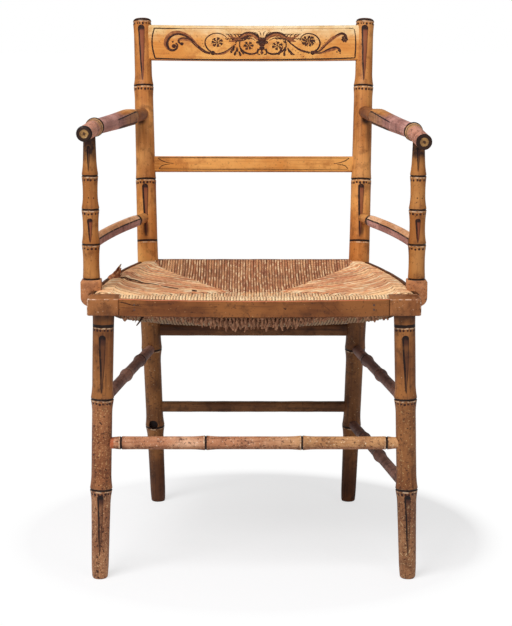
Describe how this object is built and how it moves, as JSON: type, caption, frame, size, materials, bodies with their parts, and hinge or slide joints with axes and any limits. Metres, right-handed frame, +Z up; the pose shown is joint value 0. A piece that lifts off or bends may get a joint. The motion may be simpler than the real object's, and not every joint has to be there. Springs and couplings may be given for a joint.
{
  "type": "armchair",
  "caption": "Rustic faux bamboo armchair: turned and scored posts, legs and stretchers, a bowed painted crest rail, shaved arms and a woven rush seat held in a nailed wooden edge.",
  "frame": {"origin": "middle of the outer box, on the floor", "axes": "+Z up, the seat faces -Y, +X to the right as seen from the front"},
  "size_m": [0.536, 0.5188, 0.8567],
  "materials": {
    "painted_wood": "old ochre paint over turned hardwood, scored rings picked out in dark brown",
    "worn_wood": "ochre paint worn to brown with pale speckles",
    "bare_wood": "unpainted hardwood under the rush",
    "rush": "twisted natural rush, dry and dull",
    "iron": "dark rusted nails and screws"
  },
  "bodies": {
    "root": {"left_back_post": "painted_wood", "right_back_post": "painted_wood", "left_front_leg": "painted_wood", "right_front_leg": "painted_wood", "crest_rail": "painted_wood", "back_slat": "painted_wood", "left_arm": "painted_wood", "right_arm": "painted_wood", "left_arm_support": "painted_wood", "right_arm_support": "painted_wood", "left_arm_brace": "painted_wood", "right_arm_brace": "painted_wood", "arm_support_screws": "iron", "front_seat_rail": "bare_wood", "back_seat_rail": "bare_wood", "left_seat_rail": "bare_wood", "right_seat_rail": "bare_wood", "left_corner_block": "worn_wood", "right_corner_block": "worn_wood", "front_seat_strip": "worn_wood", "back_seat_strip": "worn_wood", "left_seat_strip": "worn_wood", "right_seat_strip": "worn_wood", "seat_strip_nails": "iron", "rush_seat": "rush", "front_stretcher": "worn_wood", "left_upper_stretcher": "worn_wood", "right_upper_stretcher": "worn_wood", "right_lower_stretcher": "worn_wood", "upper_back_stretcher": "worn_wood", "lower_back_stretcher": "worn_wood"}
  },
  "joints": []
}
